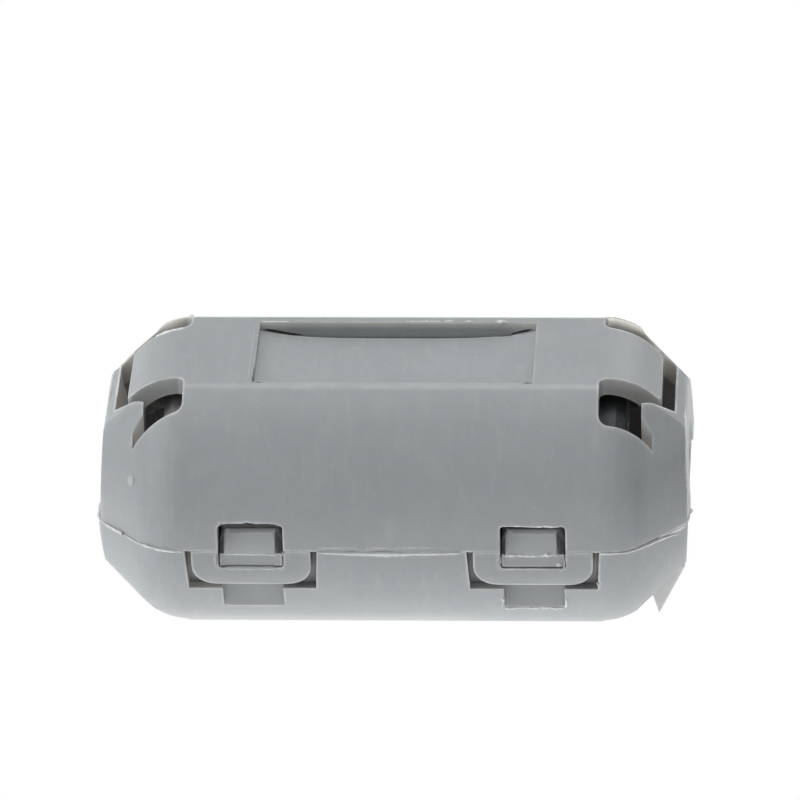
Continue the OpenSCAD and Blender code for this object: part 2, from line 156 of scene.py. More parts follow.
# places of the case painted with shade or light: zone, share (or one for the left half and one for the right)
# and tone
PAINTS = {
    # painted shade on the inner walls deep inside both ends
    "deep_inside": (
        {"y": (2.6, 3.2), "z": (2.6, 2.2), "reach": (8.3, 8.6), "ny": (-0.2, -0.4)},
        (0.1, 0.4), (0.13, 0.118, 0.108)),
    # painted shade under the right tongue
    "tongue_tuck": (
        {"x": (9.0, 9.2), "y": (-1.1, -0.5, 0.1), "z": (3.0, 4.2, 0.1), "ny": (-0.8, -0.9)},
        0.7, (0.08, 0.08, 0.08)),
    # painted light on the slanted faces of the catches
    "lit_catches": (
        {"z": (-0.2, 0.7, 0.1), "nz": (0.25, 0.35), "ny": (-0.6, -0.8)},
        1.0, (0.46, 0.48, 0.49)),
    # painted light on the front of the bent spur at the right
    "lit_spur": (
        {"x": (10.2, 10.4), "z": (-2.6, -2.8), "ny": (-0.9, -0.97)},
        1.0, (0.56, 0.565, 0.56)),
    # painted shade on the two ends, the tabs and the right notch
    "left_end": (
        {"x": (-9.4, -10.2), "nx": (-0.3, -0.5), "z": (0.8, 2.6), "y": (-2.4, -2.8)},
        0.22, SHADE_TONE),
    "right_end": (
        {"x": (9.4, 10.2), "nx": (0.3, 0.5), "z": (0.6, 2.8, 0.6), "y": (0.0, -1.0)},
        0.22, SHADE_TONE),
    "tabs": (
        {"reach": (3.3, 8.5, 0.1), "z": (-1.9, -0.3, 0.2), "y": (-6.25, -6.35)},
        0.154, SHADE_TONE),
    "right_notch": (
        {"x": (4.66, 7.24, 0.04), "z": (-3.38, -2.1, 0.04), "y": (-3.8, -4.0)},
        0.22, SHADE_TONE),
    # painted light on the slopes of the tongues, more on the right
    "tongues": (
        {"reach": (9.0, 9.8), "aside": (2.0, 1.9), "z": (4.0, 4.2), "nz": (0.6, 0.7)},
        (0.09, 0.15), (0.50, 0.51, 0.515)),
    # painted light from the floor on faces turned down
    "underside": (
        {"nz": (-0.58, -0.72), "x": (5.0, 2.0)},
        0.3, (0.48, 0.475, 0.47)),
}
# places where the painted edge highlight is weaker: zone and share taken away
WEAK_EDGE_HIGHLIGHTS = {
    "panel": ({"reach": (6.5, 6.3), "aside": (2.8, 2.7), "z": (4.6, 4.8)}, 0.7),
    "windows": ({"reach": (8.4, 11.0, 0.2), "z": (2.6, 5.0, 0.2), "y": (-2.2, -2.6)}, 0.75),
    "spur": ({"x": (10.0, 10.3), "z": (-2.2, -2.5)}, 0.8),
    "pockets": ({"reach": (3.2, 8.6, 0.1), "z": (-3.6, -1.8, 0.1), "y": (-5.0, -5.2)}, 0.5),
}
# catches: their zone, the painted shade of the gaps at both sides, and the glow of the slanted sides and the
# top
CATCHES = {"reach": (4.5, 7.3, 0.1), "y": (-5.55, -5.75), "z": (-0.2, 0.75, 0.1)}
CATCH_GAP_SHADOWS = (
    ({"reach": (4.40, 4.80, 0.05), "nz": (0.15, 0.25)}, 0.85),
    ({"reach": (6.98, 7.40, 0.05), "nz": (0.15, 0.25)}, 0.85),
)
CATCH_GLOWS = (
    ({"slant": (0.6, 0.7), "nz": (0.2, 0.3)}, 0.15),
    ({"nz": (0.9, 0.97)}, 0.13),
)
# rear walls seen through the windows, the slots and the panel, which light shines into
REAR_WALLS = {"y": (1.5, 1.9), "ny": (-0.2, -0.7)}
WINDOW_WALLS = {"reach": (8.6, 11.1, 0.2), "z": (2.2, 2.8)}
WINDOW_DIM_CORNER = ({"x": (-9.0, -8.5, 0.7)}, 0.6)
WINDOW_GLOW = (5.1 * MM, 5.5 * MM, 0.10, 0.45)
TONGUE_START = 9.0 * MM
TONGUE_FALL = 0.34
RIGHT_TONGUE_DROP = 0.55 * MM
SLOT_WALLS = {"reach": (11.1, 11.3)}
SLOT_GLOW = (3.2 * MM, 5.4 * MM, 0.02, 0.26)
PANEL_GLOWS = (
    ({"reach": (4.4, 5.4), "z": (5.0, 5.2)}, 0.05),
    ({"z": (5.5, 5.85)}, 0.15),
)
# other thin or pale walls that glow: zone and strength (or one for the left half and one for the right)
SLOT_SIDE = ({"x": (-11.2, -11.4), "nx": (0.9, 0.97)}, 0.075)
SLOT_SIDE_FADE = (4.0 * MM, 3.4 * MM, 0.3, 1.2)
GLOWS = {
    "window_lips": (
        {"reach": (8.3, 8.6), "y": (-2.2, -1.7, 0.1), "z": (4.2, 4.5), "ny": (-0.7, -0.8)},
        (0.045, 0.06)),
    "finger_sides": (
        {
            "reach": (10.0, 11.2, 0.1), "y": (-4.2, -3.0, 0.1),
            "ny": (-0.9, -0.7, 0.05), "nz": (-0.2, 0.2, 0.1),
        },
        (0.12, 0.07)),
    "panel_side": (
        {"x": (-5.95, -5.65, 0.05), "nx": (0.8, 0.9), "z": (5.0, 5.1), "y": (-2.0, -0.8)},
        0.06),
    "left_pocket_floor": (
        {"x": (-8.7, -7.3, 0.3), "z": (-2.12, -1.98, 0.04), "nz": (0.9, 0.97), "y": (-5.3, -5.5)},
        0.06),
    "right_pocket_floor": (
        {"x": (3.3, 4.7, 0.3), "z": (-2.12, -1.98, 0.04), "nz": (0.9, 0.97), "y": (-5.3, -5.5)},
        0.035),
}


class Nodes:
    """Small helper that adds linked shader nodes to one material."""

    def __init__(self, name):
        self.material = bpy.data.materials.new(name)
        self.material.use_nodes = True
        self.tree = self.material.node_tree
        self.tree.nodes.clear()
        self.output = self.tree.nodes.new("ShaderNodeOutputMaterial")
        self.readings = {}

    def add(self, kind, inputs=None, **settings):
        made = self.tree.nodes.new(kind)
        for key, value in settings.items():
            setattr(made, key, value)
        for key, value in (inputs or {}).items():
            self.put(made.inputs[key], value)
        return made

    def put(self, socket, value):
        if isinstance(value, bpy.types.NodeSocket):
            self.tree.links.new(value, socket)
        elif socket.type == "RGBA":
            socket.default_value = (*value, 1.0)
        else:
            socket.default_value = value

    def finish(self, shader):
        self.put(self.output.inputs["Surface"], shader.outputs[0])
        return self.material

    def math(self, operation, a, b=0.0, clamp=False):
        made = self.add("ShaderNodeMath", {0: a, 1: b}, operation=operation, use_clamp=clamp)
        return made.outputs[0]

    def times(self, first, *others):
        for other in others:
            first = self.math("MULTIPLY", first, other)
        return first

    def plus(self, first, *others):
        for other in others:
            first = self.math("ADD", first, other)
        return first

    def without(self, share):
        return self.math("SUBTRACT", 1.0, share, clamp=True)

    def mix(self, share, a, b):
        made = self.add("ShaderNodeMix", {0: share}, data_type="RGBA")
        self.put(made.inputs[6], a)
        self.put(made.inputs[7], b)
        return made.outputs[2]

    def ramp(self, value, low, high, floor=0.0, top=1.0):
        made = self.add(
            "ShaderNodeMapRange",
            {"Value": value, "From Min": low, "From Max": high, "To Min": floor, "To Max": top},
        )
        return made.outputs["Result"]

    def within(self, value, low, high, soft):
        """One inside a band and zero outside it, with soft borders."""
        return self.times(self.ramp(value, low - soft, low), self.ramp(value, high + soft, high))

    def read(self, name):
        """Reading at the shaded point, added when it is first asked for."""
        if name not in self.readings and name in UNSIGNED:
            self.readings[name] = self.math("ABSOLUTE", self.read(UNSIGNED[name]))
        elif name not in self.readings:
            coordinates = self.add("ShaderNodeTexCoord").outputs
            self.readings["where"] = coordinates["Object"]
            for prefix, source in (("", "Object"), ("n", "Normal")):
                parts = self.add("ShaderNodeSeparateXYZ", {0: coordinates[source]}).outputs
                self.readings.update({prefix + axis.lower(): parts[axis] for axis in "XYZ"})
        return self.readings[name]

    def noise(self, scale, detail, rough, stretch=None):
        where = self.read("where")
        if stretch:
            where = self.add("ShaderNodeVectorMath", {0: where, 1: stretch}, operation="MULTIPLY").outputs[0]
        made = self.add(
            "ShaderNodeTexNoise",
            {"Vector": where, "Scale": scale, "Detail": detail, "Roughness": rough},
        )
        return made.outputs["Fac"]

    def openness(self, reach, samples, inside=False):
        made = self.add("ShaderNodeAmbientOcclusion", {"Distance": reach}, samples=samples, inside=inside)
        return made.outputs["AO"]

    def halves(self, left, right):
        """One value in the left half of the bead and one in the right."""
        return self.ramp(self.read("x"), -MIDDLE, MIDDLE, left, right)

    def zone(self, limits_of, share=1.0):
        """Share of a zone at the shaded point."""
        if isinstance(share, tuple):
            share = self.halves(*share)
        for name, limits in limits_of.items():
            unit = 1.0 if name in FACINGS else MM
            limits = [unit * limit for limit in limits]
            part = self.ramp if len(limits) == 2 else self.within
            share = self.times(share, part(self.read(name), *limits))
        return share

    def zones(self, several):
        return self.plus(*(self.zone(*one) for one in several))


def rear_wall_glow(n):
    """Glow of the rear walls, brightest above the tongues in the windows and at the top of the panel."""
    slope = n.times(n.math("SUBTRACT", n.read("reach"), TONGUE_START), TONGUE_FALL)
    above_tongue = n.plus(n.read("z"), slope, n.halves(0.0, RIGHT_TONGUE_DROP))
    windows = n.times(
        n.zone(WINDOW_WALLS),
        n.ramp(above_tongue, *WINDOW_GLOW),
        n.without(n.zone(*WINDOW_DIM_CORNER)),
    )
    slots = n.times(n.zone(SLOT_WALLS), n.ramp(n.read("z"), *SLOT_GLOW))
    panel = n.times(n.zones(PANEL_GLOWS), n.without(n.zone(ENDS)))
    return n.times(n.zone(REAR_WALLS), n.plus(windows, slots, panel))


def case_plastic(name, tint=CASE_TONE, edge_light=0.5):
    """Grey moulded plastic: grain, flow marks and blotches, with painted highlights on edges, the crease and
    lit faces, painted shade in corners, ends and gaps, painted warm light in hollows and glowing thin lit
    walls.
    """
    n = Nodes(name)
    noise = {kind: n.noise(*values) for kind, values in CASE_NOISES.items()}

    low, high = ([spread * part for part in tint] for spread in TONE_SPREAD)
    base = n.mix(n.ramp(noise["cloud"], *NOISE_SPAN), low, high)
    for kind, (span, share, tone) in MARKS.items():
        base = n.mix(n.times(n.ramp(noise[kind], *span), share), base, tone)
    # painted warm light in the hollows at both ends
    hollow = n.ramp(n.openness(HOLLOW_REACH, 8), *HOLLOW_SPAN)
    base = n.mix(n.times(hollow, n.zone(ENDS, HOLLOW_LIGHT_SHARE)), base, HOLLOW_LIGHT_TONE)
    for limits_of, share, tone in PAINTS.values():
        base = n.mix(n.zone(limits_of, share), base, tone)
    # painted highlight along the front crease of the top, broken up by a noise
    crease = n.times(n.zone(CREASE), n.ramp(noise["highlight_patches"], *CREASE_HIGHLIGHT_PATCHES))
    base = n.mix(crease, base, CREASE_HIGHLIGHT_TONE)
    # painted highlight on convex edges, broken up by a noise and weaker in some places
    edge = n.times(
        n.ramp(n.openness(EDGE_REACH, 6, inside=True), *EDGE_SPAN),
        n.ramp(noise["highlight_patches"], *EDGE_HIGHLIGHT_PATCHES),
        n.without(n.zones(WEAK_EDGE_HIGHLIGHTS.values())),
        edge_light,
    )
    base = n.mix(edge, base, EDGE_HIGHLIGHT_TONE)
    catches = n.zone(CATCHES)
    # painted shadow in the gaps at both sides of the catches
    gaps = n.times(n.zones(CATCH_GAP_SHADOWS), catches)
    base = n.mix(gaps, base, CATCH_GAP_SHADOW_TONE)

    glow = n.plus(
        rear_wall_glow(n),
        n.times(n.zone(*SLOT_SIDE), n.ramp(n.read("z"), *SLOT_SIDE_FADE)),
        n.times(catches, n.without(gaps), n.zones(CATCH_GLOWS)),
        n.zones(GLOWS.values()),
    )

    bevel = n.add("ShaderNodeBevel", {"Radius": BEVEL_RADIUS}, samples=6)
    bump = n.add(
        "ShaderNodeBump",
        {"Strength": 0.12, "Distance": GRAIN_DEPTH, "Height": noise["grain"], "Normal": bevel.outputs[0]},
    )
    return n.finish(n.add(
        "ShaderNodeBsdfPrincipled",
        {
            "Base Color": base,
            "Roughness": n.ramp(noise["grain"], *NOISE_SPAN, 0.46, 0.6),
            "Normal": bump.outputs["Normal"],
            "IOR": 1.48,
            "Subsurface Weight": 0.4,
            "Subsurface Radius": (1.0, 0.86, 0.72),
            "Subsurface Scale": 0.5 * MM,
            "Emission Color": n.mix(catches, WARM_GLOW, COOL_GLOW),
            "Emission Strength": glow,
        },
    ))


def core_ferrite(name):
    """Dark sintered ferrite with a matt grain and painted glints, painted light on the left end and painted
    shade on the right end.
    """
    n = Nodes(name)
    grain = n.noise(*CORE_GRAIN)
    cloud = n.noise(*CORE_CLOUD)
    base = n.mix(cloud, *CORE_TONES)
    base = n.mix(n.zone(LIT_CORE_END), base, n.mix(cloud, *LIT_CORE_END_TONES))
    base = n.mix(n.zone(SHADED_CORE_END), base, n.mix(cloud, *SHADED_CORE_END_TONES))
    # painted glints on the grain
    base = n.mix(n.times(n.ramp(grain, *PAINTED_GLINT), PAINTED_GLINT_SHARE), base, PAINTED_GLINT_TONE)
    bump = n.add("ShaderNodeBump", {"Strength": 0.3, "Distance": GRAIN_DEPTH, "Height": grain})
    return n.finish(n.add(
        "ShaderNodeBsdfPrincipled",
        {"Base Color": base, "Roughness": 0.45, "Normal": bump.outputs["Normal"]},
    ))


def gap_shadow(name):
    """Painted shadow: dark, slightly mottled strip for the shade inside a narrow gap."""
    n = Nodes(name)
    mottle = n.noise(*GAP_MOTTLE)
    return n.finish(n.add(
        "ShaderNodeBsdfPrincipled",
        {
            "Base Color": n.mix(n.ramp(mottle, *NOISE_SPAN), *GAP_TONES),
            "Roughness": n.ramp(mottle, *NOISE_SPAN, 0.8, 1.0),
        },
    ))


def floor_white(name):
    """White floor that glows softly onto the object and is plain white to the camera."""
    n = Nodes(name)
    path = n.add("ShaderNodeLightPath")
    strength = n.ramp(path.outputs["Is Camera Ray"], 0.0, 1.0, FLOOR_GLOW, 1.0)
    return n.finish(n.add("ShaderNodeEmission", {"Color": (1.0, 1.0, 1.0), "Strength": strength}))


def dress(obj, material):
    obj.data.materials.clear()
    obj.data.materials.append(material)


case_material = case_plastic("case_plastic")
# pale tone for the flash, which also paints highlight lines
flash_highlight_material = case_plastic("moulding_flash_highlight", FLASH_HIGHLIGHT_TONE, 0.3)
core_material = core_ferrite("ferrite")
gap_shadow_material = gap_shadow("gap_shadow")
# lighter tone shared by the gate pip and the painted highlight rims
pip_and_highlight_material = case_plastic("pip_and_highlight_plastic", PIP_AND_HIGHLIGHT_TONE, 0.0)
lip_material = case_plastic("lip_plastic", edge_light=0.0)
for name in CASE_NODES:
    dress(nodes[name], case_material)
for name in CORE_NODES:
    dress(nodes[name], core_material)


def new_piece(name, points, faces, material):
    mesh = bpy.data.meshes.new(name)
    mesh.from_pydata(points, [], faces)
    mesh.update()
    mesh.materials.append(material)
    made = bpy.data.objects.new(name, mesh)
    bpy.context.collection.objects.link(made)
    return made


def smooth(obj):
    for polygon in obj.data.polygons:
        polygon.use_smooth = True


def tree_of(name):
    mesh = nodes[name].data
    points = [vertex.co.copy() for vertex in mesh.vertices]
    return BVHTree.FromPolygons(points, [list(polygon.vertices) for polygon in mesh.polygons])


trees = {name: tree_of(name) for name in CASE_NODES}
FAR_OFF = 30.0
# how each side of the case is looked at: where two places on it lie, and the direction of the look
SIDES = {
    "front": (lambda a, b: Vector((a, -FAR_OFF, b)), Vector((0.0, 1.0, 0.0))),
    "top": (lambda a, b: Vector((a, b, FAR_OFF)), Vector((0.0, 0.0, -1.0))),
    "left": (lambda a, b: Vector((-FAR_OFF, a, b)), Vector((1.0, 0.0, 0.0))),
    "right": (lambda a, b: Vector((FAR_OFF, a, b)), Vector((-1.0, 0.0, 0.0))),
    "panel_wall": (lambda a, b: Vector((a, 0.0, b)), Vector((0.0, 1.0, 0.0))),
}
# strips: length of a step, depth of the foot, share of the width left at the top, how the width wanders and
# drifts from step to step, and how it fades at both tips
RIBBON_STEP = 0.06
RIBBON_SUNK = 0.03 * MM
RIBBON_TOP = 0.6
SWELL_PULL = 0.35
SWELL_JUMP = 0.6
SWELL_LEAST, SWELL_MOST = 0.4, 1.8
DRIFT = 0.2
TIP_WIDTH = 0.2
TIP_STEPS = 4.0
# pips: number and strength of their lumps, and what is taken off to make up for them
PIP_LUMPS = 6
LUMP_SWELL = 0.14
LUMP_POWER = 3
PIP_SHRINK = 0.12


def seat(node, side, a, b):
    """Place on a CAD node seen from one side, and the outward direction there."""
    start, look = SIDES[side]
    place, normal, _, _ = trees[node].ray_cast(start(a, b) * MM, look)
    if place is None:
        place, normal, _, _ = trees[node].find_nearest(start(a, b) * MM)
    return place, normal


def ribbon(name, node, side, stops, height, ragged, seed, material):
    """Thin ragged strip on one side of a CAD node; stops are two places and a width, all in millimetres."""
    chance = random.Random(seed)
    steps = []
    for start, end in zip(stops, stops[1:]):
        span = math.hypot(end[0] - start[0], end[1] - start[1])
        count = max(2, int(span / RIBBON_STEP))
        for i in range(count):
            share = i / count
            steps.append([p + share * (q - p) for p, q in zip(start, end)])
    steps.append(stops[-1])
    seats = [seat(node, side, a, b) for a, b, _ in steps]
    last = len(seats) - 1
    points, faces = [], []
    swell = 1.0
    for i, (place, normal) in enumerate(seats):
        width = steps[i][2]
        ahead = seats[min(i + 1, last)][0] - seats[max(i - 1, 0)][0]
        across = ahead.normalized().cross(normal).normalized()
        swell += SWELL_PULL * (1.0 - swell) + ragged * chance.uniform(-SWELL_JUMP, SWELL_JUMP)
        swell = min(max(swell, SWELL_LEAST), SWELL_MOST)
        fade = min(1.0, TIP_WIDTH + i / TIP_STEPS, TIP_WIDTH + (last - i) / TIP_STEPS)
        half = 0.5 * width * swell * fade * MM
        rise = height * swell * fade * MM
        drift = across * ragged * chance.uniform(-DRIFT, DRIFT) * width * MM
        sunk = place - normal * RIBBON_SUNK + drift
        lift = normal * (rise + RIBBON_SUNK)
        points += [
            sunk - across * half,
            sunk - across * half * RIBBON_TOP + lift,
            sunk + across * half * RIBBON_TOP + lift,
            sunk + across * half,
        ]
    for i in range(last):
        a, b = 4 * i, 4 * (i + 1)
        faces += [(a + k, a + k + 1, b + k + 1, b + k) for k in range(3)] + [(a + 3, a, b, b + 3)]
    faces += [(3, 2, 1, 0), tuple(4 * last + k for k in range(4))]
    made = new_piece(name, points, faces, material)
    smooth(made)
    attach(made, BODY_OF[node])


def blob(name, node, side, place, size, seed, material):
    """Small lumpy pip on one side of a CAD node; place and size in millimetres."""
    chance = random.Random(seed)
    middle, normal = seat(node, side, *place)
    bpy.ops.mesh.primitive_ico_sphere_add(subdivisions=3, radius=1.0)
    made = bpy.context.object
    made.name = name
    turn = normal.to_track_quat("Z", "Y").to_matrix()
    lumps = [Vector([chance.uniform(-1.0, 1.0) for _ in range(3)]).normalized() for _ in range(PIP_LUMPS)]
    for vertex in made.data.vertices:
        lump_share = sum(max(0.0, vertex.co.dot(lump)) ** LUMP_POWER for lump in lumps)
        swell = 1.0 + LUMP_SWELL * lump_share - PIP_SHRINK
        scaled = Vector([c * s * swell for c, s in zip(vertex.co, size)])
        vertex.co = middle + turn @ (scaled * MM)
    smooth(made)
    dress(made, material)
    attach(made, BODY_OF[node])


# flash left by the mould, and lines of painted highlight, in a pale tone that paints them lighter than the
# case: node, side of the case, stops (two places and a width), height and raggedness
FLASH = {
    "seam_left": ("lower_shell", "front", (
        (-12.2, -0.05, 0.04), (-11.8, -0.02, 0.07), (-11.2, 0.0, 0.09), (-10.6, 0.0, 0.07),
        (-10.0, -0.01, 0.07), (-9.3, -0.02, 0.05), (-8.6, -0.02, 0.05)), 0.04, 0.9),
    "seam_middle": ("lower_shell", "front", (
        (-3.05, -0.05, 0.08), (-2.0, -0.10, 0.14), (-0.8, -0.12, 0.19), (0.2, -0.13, 0.22),
        (1.2, -0.11, 0.18), (2.2, -0.08, 0.14), (2.95, -0.05, 0.09)), 0.03, 0.25),
    "seam_right": ("lower_shell", "front", (
        (8.7, -0.04, 0.10), (9.3, -0.06, 0.09), (9.8, -0.12, 0.07), (10.4, -0.10, 0.09),
        (11.1, -0.12, 0.10), (11.7, -0.25, 0.09), (12.1, -0.42, 0.06)), 0.05, 0.35),
    "seam_wedge": ("lower_shell", "front", (
        (11.35, -0.05, 0.05), (11.8, -0.10, 0.18), (12.15, -0.15, 0.28), (12.3, -0.15, 0.28)), 0.02, 0.3),
    "ridge_left": ("lower_shell", "front", (
        (-7.05, -0.21, 0.05), (-6.4, -0.20, 0.08), (-5.4, -0.22, 0.06), (-4.75, -0.26, 0.09)), 0.03, 0.4),
    "ridge_right": ("lower_shell", "front", (
        (4.75, -0.22, 0.10), (5.5, -0.22, 0.12), (6.3, -0.24, 0.13), (6.6, -0.18, 0.14),
        (7.0, -0.24, 0.10)), 0.06, 0.7),
    "window_left": ("upper_shell", "front", (
        (-7.15, 1.32, 0.05), (-6.5, 1.32, 0.05), (-6.1, 1.35, 0.05), (-5.95, 1.40, 0.05),
        (-5.7, 1.33, 0.06), (-5.2, 1.32, 0.05), (-4.6, 1.31, 0.05)), 0.01, 0.5),
    "window_right": ("upper_shell", "front", (
        (4.7, 1.22, 0.05), (5.4, 1.23, 0.06), (6.0, 1.20, 0.04), (6.5, 1.22, 0.09),
        (7.15, 1.21, 0.08)), 0.05, 0.5),
    "notch_right_side": ("lower_shell", "front", (
        (4.66, -2.45, 0.08), (4.60, -2.65, 0.08), (4.68, -2.80, 0.12), (4.63, -3.05, 0.08),
        (4.58, -3.40, 0.14)), 0.06, 0.9),
    "notch_right_foot": ("lower_shell", "front", (
        (4.55, -3.42, 0.16), (4.9, -3.46, 0.12), (5.3, -3.36, 0.08), (5.9, -3.40, 0.12), (6.5, -3.35, 0.10),
        (7.2, -3.42, 0.12)), 0.06, 0.9),
    "notch_right_edge": ("lower_shell", "front", (
        (7.27, -2.55, 0.06), (7.30, -2.95, 0.08), (7.25, -3.40, 0.10)), 0.06, 0.8),
    "notch_left_foot": ("lower_shell", "front", (
        (-7.05, -3.30, 0.05), (-6.2, -3.29, 0.05), (-5.2, -3.29, 0.05), (-4.55, -3.31, 0.08)), 0.03, 0.4),
    "panel_chips_a": ("upper_shell", "top", (
        (0.4, 2.47, 0.03), (1.2, 2.48, 0.05), (1.9, 2.47, 0.03)), 0.03, 0.9),
    "panel_chips_b": ("upper_shell", "top", (
        (2.0, 2.50, 0.06), (2.25, 2.50, 0.13), (2.45, 2.50, 0.06)), 0.05, 0.9),
    "panel_chips_c": ("upper_shell", "top", (
        (2.85, 2.48, 0.06), (3.1, 2.48, 0.11), (3.3, 2.47, 0.05)), 0.05, 0.9),
    "panel_chips_d": ("upper_shell", "top", (
        (4.2, 2.45, 0.06), (4.5, 2.43, 0.11), (4.75, 2.42, 0.08)), 0.05, 0.9),
    "panel_line": ("upper_shell", "top", ((-5.7, 2.42, 0.05), (-4.5, 2.42, 0.04)), 0.03, 0.4),
    "tongue_left_rim": ("upper_shell", "top", (
        (-8.95, 1.92, 0.05), (-9.3, 1.89, 0.09), (-9.9, 1.88, 0.12), (-10.6, 1.88, 0.12),
        (-11.2, 1.88, 0.06)), 0.03, 0.8),
    "end_lip_left": ("lower_shell", "left", (
        (-2.6, -0.06, 0.22), (-3.1, -0.06, 0.24), (-3.5, -0.06, 0.20), (-3.9, -0.06, 0.12)), 0.09, 0.2),
    "end_line_right": ("upper_shell", "right", (
        (-0.6, 3.60, 0.06), (-1.5, 3.58, 0.07), (-2.4, 3.46, 0.08), (-3.0, 2.91, 0.09), (-3.4, 2.41, 0.09),
        (-3.7, 1.85, 0.10), (-3.97, 1.05, 0.10), (-4.07, 0.25, 0.08)), 0.04, 0.3),
}
# painted shadows: dark strips over narrow gaps, in the same order
GAP_SHADOWS = {
    "gap_right": ("upper_shell", "front", (
        (10.2, 0.03, 0.02), (10.7, 0.04, 0.05), (11.1, 0.04, 0.07), (11.35, 0.03, 0.03)), 0.004, 0.4),
    "gap_middle_a": ("upper_shell", "front", (
        (-1.9, 0.03, 0.02), (-1.6, 0.03, 0.04), (-1.3, 0.03, 0.02)), 0.003, 0.3),
    "gap_middle_b": ("upper_shell", "front", (
        (-0.9, 0.03, 0.02), (-0.3, 0.03, 0.04), (0.3, 0.03, 0.02)), 0.003, 0.3),
    "window_left_shade": ("upper_shell", "front", (
        (-7.10, 1.225, 0.16), (-6.2, 1.225, 0.17), (-5.95, 1.26, 0.20), (-5.6, 1.225, 0.17),
        (-4.65, 1.225, 0.15)), 0.002, 0.2),
    "panel_left": ("upper_shell", "top", (
        (-5.80, -1.0, 0.02), (-5.80, -1.8, 0.04), (-5.80, -2.35, 0.06)), 0.004, 0.4),
    "panel_left_nick": ("upper_shell", "top", (
        (-5.84, -2.39, 0.05), (-5.6, -2.40, 0.07), (-5.3, -2.41, 0.02)), 0.004, 0.4),
    "panel_slit_left": ("upper_shell", "panel_wall", (
        (-5.62, 5.50, 0.17), (-5.15, 5.43, 0.18), (-4.73, 5.35, 0.16), (-4.31, 5.29, 0.12),
        (-3.93, 5.25, 0.06)), 0.004, 0.2),
    "panel_slit_right": ("upper_shell", "panel_wall", (
        (4.2, 5.24, 0.05), (4.5, 5.27, 0.08), (5.0, 5.36, 0.12), (5.4, 5.45, 0.16),
        (5.75, 5.53, 0.16)), 0.004, 0.2),
    "panel_nick": ("upper_shell", "top", (
        (5.45, -2.42, 0.03), (5.75, -2.41, 0.12), (5.93, -2.41, 0.14)), 0.004, 0.4),
}
# soft pale rims of painted highlight along edges, seams and the panel, in the same order
HIGHLIGHT_RIMS = {
    "rear_right_lip": ("upper_shell", "top", (
        (8.60, 4.28, 0.10), (8.9, 4.28, 0.14), (9.3, 4.28, 0.14), (9.8, 4.28, 0.10),
        (10.4, 4.24, 0.06)), 0.11, 0.3),
    "seam_rim_left": ("upper_shell", "front", (
        (-3.05, 0.08, 0.12), (-2.0, 0.10, 0.15), (-1.2, 0.10, 0.14)), 0.002, 0.2),
    "seam_rim_right": ("upper_shell", "front", (
        (-1.0, 0.10, 0.13), (0.2, 0.10, 0.15), (1.4, 0.10, 0.16), (2.95, 0.08, 0.12)), 0.002, 0.2),
    "seam_fill_left": ("upper_shell", "front", (
        (-3.0, 0.03, 0.10), (-2.6, 0.03, 0.12), (-2.0, 0.03, 0.08)), 0.002, 0.3),
    "seam_fill_right": ("upper_shell", "front", (
        (0.5, 0.03, 0.08), (1.7, 0.03, 0.12), (2.9, 0.03, 0.10)), 0.002, 0.3),
    "panel_rim": ("upper_shell", "top", (
        (-5.92, 2.35, 0.10), (-5.94, 1.0, 0.15), (-5.95, -0.5, 0.12), (-5.97, -2.35, 0.12)), 0.012, 0.4),
    "end_top_left": ("upper_shell", "top", (
        (-11.95, 1.88, 0.16), (-12.02, 1.30, 0.24), (-12.04, 0.40, 0.24), (-12.06, -0.60, 0.16)), 0.05, 0.05),
    "left_hook_a": ("left_latch", "front", (
        (-4.42, -0.35, 0.04), (-4.40, -0.65, 0.06), (-4.46, -0.90, 0.06), (-4.60, -0.99, 0.05)), 0.02, 0.3),
    "left_hook_b": ("left_latch", "front", (
        (-7.29, -0.40, 0.04), (-7.29, -0.70, 0.05), (-7.22, -0.92, 0.05), (-7.05, -1.00, 0.04)), 0.02, 0.3),
    "right_hook_a": ("right_latch", "front", (
        (4.50, -0.40, 0.04), (4.50, -0.70, 0.05), (4.57, -0.92, 0.05), (4.75, -1.00, 0.04)), 0.02, 0.3),
    "right_hook_b": ("right_latch", "front", (
        (7.30, -0.40, 0.04), (7.30, -0.70, 0.05), (7.22, -0.92, 0.05), (7.08, -1.00, 0.04)), 0.02, 0.3),
}
# lips of the mould in the tone of the case, in the same order
LIPS = {
    "left_sill": ("left_latch", "front", (
        (-7.0, -0.865, 0.16), (-5.9, -0.865, 0.16), (-4.75, -0.865, 0.16)), 0.002, 0.2),
    "left_jamb_a": ("left_latch", "front", (
        (-7.255, -0.10, 0.14), (-7.255, -0.40, 0.18), (-7.255, -0.72, 0.14)), 0.002, 0.2),
    "left_jamb_b": ("left_latch", "front", (
        (-4.485, -0.10, 0.14), (-4.485, -0.40, 0.18), (-4.485, -0.72, 0.14)), 0.002, 0.2),
    "right_jamb": ("right_latch", "front", (
        (4.585, -0.10, 0.14), (4.585, -0.40, 0.18), (4.585, -0.72, 0.14)), 0.002, 0.2),
    "pocket_right_edge": ("lower_shell", "front", (
        (8.70, -0.12, 0.22), (8.69, -0.91, 0.28), (8.66, -1.85, 0.22)), 0.002, 0.1),
}
